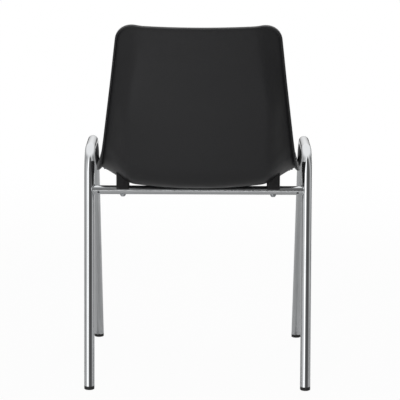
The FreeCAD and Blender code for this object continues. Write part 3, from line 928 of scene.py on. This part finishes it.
def world_light():
    """White surroundings to the camera, and to gloss the strips and the ceiling of a studio."""
    world = bpy.data.worlds.new("studio")
    bpy.context.scene.world = world
    world.use_nodes = True
    tree = world.node_tree
    tree.nodes.clear()
    output = add_node(tree, "ShaderNodeOutputWorld")
    direction = add_node(tree, "ShaderNodeTexCoord").outputs["Generated"]
    parts = add_node(tree, "ShaderNodeSeparateXYZ", {}, {}, {"Vector": direction})
    turn = add_node(tree, "ShaderNodeMath", {"operation": "ARCTAN2"})
    tree.links.new(parts.outputs["X"], turn.inputs[0])
    tree.links.new(parts.outputs["Y"], turn.inputs[1])
    share = add_node(tree, "ShaderNodeMapRange", {},
                     {"From Min": -math.pi, "From Max": math.pi, "To Min": 0.0, "To Max": 1.0},
                     {"Value": turn.outputs["Value"]})
    strips = add_node(tree, "ShaderNodeValToRGB", {}, {}, {"Fac": share.outputs["Result"]})
    ramp = strips.color_ramp
    ramp.interpolation = "EASE"
    while len(ramp.elements) > 1:
        ramp.elements.remove(ramp.elements[0])
    ramp.elements[0].position = 0.0
    ramp.elements[0].color = grey(SURROUNDINGS[0][1])
    for degrees, level in SURROUNDINGS[1:]:
        ramp.elements.new((degrees + 180.0) / 360.0).color = grey(level)
    above = add_node(tree, "ShaderNodeVectorMath", {"operation": "DOT_PRODUCT"}, {}, {"Vector": direction})
    above.inputs[1].default_value = CEILING_AT
    high = add_node(tree, "ShaderNodeMapRange", {"interpolation_type": "SMOOTHSTEP"},
                    {"From Min": CEILING_EDGE[0], "From Max": CEILING_EDGE[1],
                     "To Min": 0.0, "To Max": 1.0},
                    {"Value": above.outputs["Value"]})
    around = add_node(tree, "ShaderNodeMix", {"data_type": "RGBA"},
                      {"B": grey(CEILING_LEVEL)},
                      {"Factor": high.outputs["Result"], "A": strips.outputs["Color"]})
    seen = add_node(tree, "ShaderNodeBackground", {}, {"Strength": 1.0}, {"Color": around.outputs["Result"]})
    white = add_node(tree, "ShaderNodeBackground", {}, {"Color": grey(1.0), "Strength": 1.0})
    ambient = add_node(tree, "ShaderNodeBackground", {}, {"Strength": AMBIENT},
                       {"Color": strips.outputs["Color"]})
    path = add_node(tree, "ShaderNodeLightPath")
    glossy = add_node(tree, "ShaderNodeMixShader", {}, {}, {"Fac": path.outputs["Is Glossy Ray"]})
    tree.links.new(ambient.outputs["Background"], glossy.inputs[1])
    tree.links.new(seen.outputs["Background"], glossy.inputs[2])
    camera = add_node(tree, "ShaderNodeMixShader", {}, {}, {"Fac": path.outputs["Is Camera Ray"]})
    tree.links.new(glossy.outputs["Shader"], camera.inputs[1])
    tree.links.new(white.outputs["Background"], camera.inputs[2])
    tree.links.new(camera.outputs["Shader"], output.inputs["Surface"])


def floor_paint():
    """White studio floor: full white to the camera away from the chair, and it holds the soft shadow."""
    material, tree, output = new_material("white studio floor")
    path = add_node(tree, "ShaderNodeLightPath")
    plain = add_node(tree, "ShaderNodeBsdfDiffuse", {}, {"Color": grey(FLOOR_GREY)})
    glow = add_node(tree, "ShaderNodeEmission", {}, {"Color": grey(1.0), "Strength": 1.0})
    place_on = add_node(tree, "ShaderNodeTexCoord").outputs["Object"]
    away = add_node(tree, "ShaderNodeVectorMath", {"operation": "LENGTH"}, {}, {"Vector": place_on})
    fade = add_node(tree, "ShaderNodeMapRange", {"interpolation_type": "SMOOTHSTEP"},
                    {"From Min": FLOOR_FADE[0], "From Max": FLOOR_FADE[1],
                     "To Min": FLOOR_GLOW, "To Max": 1.0},
                    {"Value": away.outputs["Value"]})
    seen = add_node(tree, "ShaderNodeMath", {"operation": "MULTIPLY"})
    tree.links.new(path.outputs["Is Camera Ray"], seen.inputs[0])
    tree.links.new(fade.outputs["Result"], seen.inputs[1])
    share = add_node(tree, "ShaderNodeMath", {"operation": "MULTIPLY_ADD"})
    tree.links.new(path.outputs["Is Glossy Ray"], share.inputs[0])
    share.inputs[1].default_value = FLOOR_GLOSS_GLOW
    tree.links.new(seen.outputs["Value"], share.inputs[2])
    mix = add_node(tree, "ShaderNodeMixShader", {}, {}, {"Fac": share.outputs["Value"]})
    tree.links.new(plain.outputs["BSDF"], mix.inputs[1])
    tree.links.new(glow.outputs["Emission"], mix.inputs[2])
    tree.links.new(mix.outputs["Shader"], output.inputs["Surface"])
    return material


def soft_box(name, spot, target, size, power):
    """A rectangular lamp that lights plain surfaces, and that polished metal doesn't show."""
    light = bpy.data.lights.new(name, "AREA")
    light.shape = "RECTANGLE"
    light.size, light.size_y = size
    light.energy = power
    lamp = bpy.data.objects.new(name, light)
    turn = (target - spot).to_track_quat("-Z", "Y").to_matrix().to_4x4()
    lamp.matrix_world = Matrix.Translation(spot) @ turn
    bpy.context.scene.collection.objects.link(lamp)
    lamp.visible_glossy = False
    return lamp


class CHOIR_OT_stage(bpy.types.Operator):
    """Set the white floor, the soft studio light and the camera of the photograph"""
    bl_idname = "choir.stage"
    bl_label = "Stage"

    def execute(self, context):
        bm = bmesh.new()
        bmesh.ops.create_grid(bm, x_segments=1, y_segments=1, size=FLOOR_REACH)
        mesh = bpy.data.meshes.new("floor")
        bm.to_mesh(mesh)
        bm.free()
        mesh.materials.append(floor_paint())
        floor = bpy.data.objects.new("floor", mesh)
        context.scene.collection.objects.link(floor)
        world_light()
        for name, spot, size, power in LAMPS:
            soft_box(name, Vector(spot), Vector(LAMP_AIM), size, power)
        camera = bpy.data.cameras.new("camera")
        camera.sensor_width = SENSOR_WIDTH
        camera.lens = FOCAL_PIXELS / PHOTO_PIXELS * SENSOR_WIDTH
        camera.clip_end = VIEW_DISTANCE
        viewer = bpy.data.objects.new("camera", camera)
        spot = Vector((CAMERA_SIDE, REAR_FOOT.y + CAMERA_BEHIND_FEET, CAMERA_HEIGHT))
        look = Matrix.Rotation(math.pi, 4, "Z") @ Matrix.Rotation(math.pi / 2.0 - CAMERA_PITCH, 4, "X")
        viewer.matrix_world = Matrix.Translation(spot) @ look @ Matrix.Rotation(CAMERA_ROLL, 4, "Z")
        context.scene.collection.objects.link(viewer)
        context.scene.camera = viewer
        context.scene.view_settings.view_transform = "Standard"
        return {"FINISHED"}


class CHOIR_PT_panel(bpy.types.Panel):
    """The chair's pieces, in the order in which they are built"""
    bl_label = "Choir chair"
    bl_idname = "CHOIR_PT_panel"
    bl_space_type = "VIEW_3D"
    bl_region_type = "UI"
    bl_category = "Choir chair"

    def draw(self, context):
        for operator in OPERATORS:
            self.layout.operator(operator.bl_idname)


GROUPS = {"choir_shell": ShellSizes, "choir_frame": FrameSizes, "choir_fixing": FixingSizes,
          "choir_finish": Finishes}
OPERATORS = (CHOIR_OT_shell, CHOIR_OT_side_frames, CHOIR_OT_crossbar, CHOIR_OT_feet, CHOIR_OT_blocks,
             CHOIR_OT_fastenings, CHOIR_OT_stage)


def register():
    for name, group in GROUPS.items():
        bpy.utils.register_class(group)
        setattr(bpy.types.Scene, name, PointerProperty(type=group))
    for operator in OPERATORS:
        bpy.utils.register_class(operator)
    bpy.utils.register_class(CHOIR_PT_panel)


def unregister():
    bpy.utils.unregister_class(CHOIR_PT_panel)
    for operator in reversed(OPERATORS):
        bpy.utils.unregister_class(operator)
    for name, group in GROUPS.items():
        delattr(bpy.types.Scene, name)
        bpy.utils.unregister_class(group)


def main():
    register()
    bpy.ops.choir.shell()
    bpy.ops.choir.side_frames()
    bpy.ops.choir.crossbar()
    bpy.ops.choir.feet()
    bpy.ops.choir.blocks()
    bpy.ops.choir.fastenings()
    bpy.ops.choir.stage()


if __name__ == "__main__":
    main()
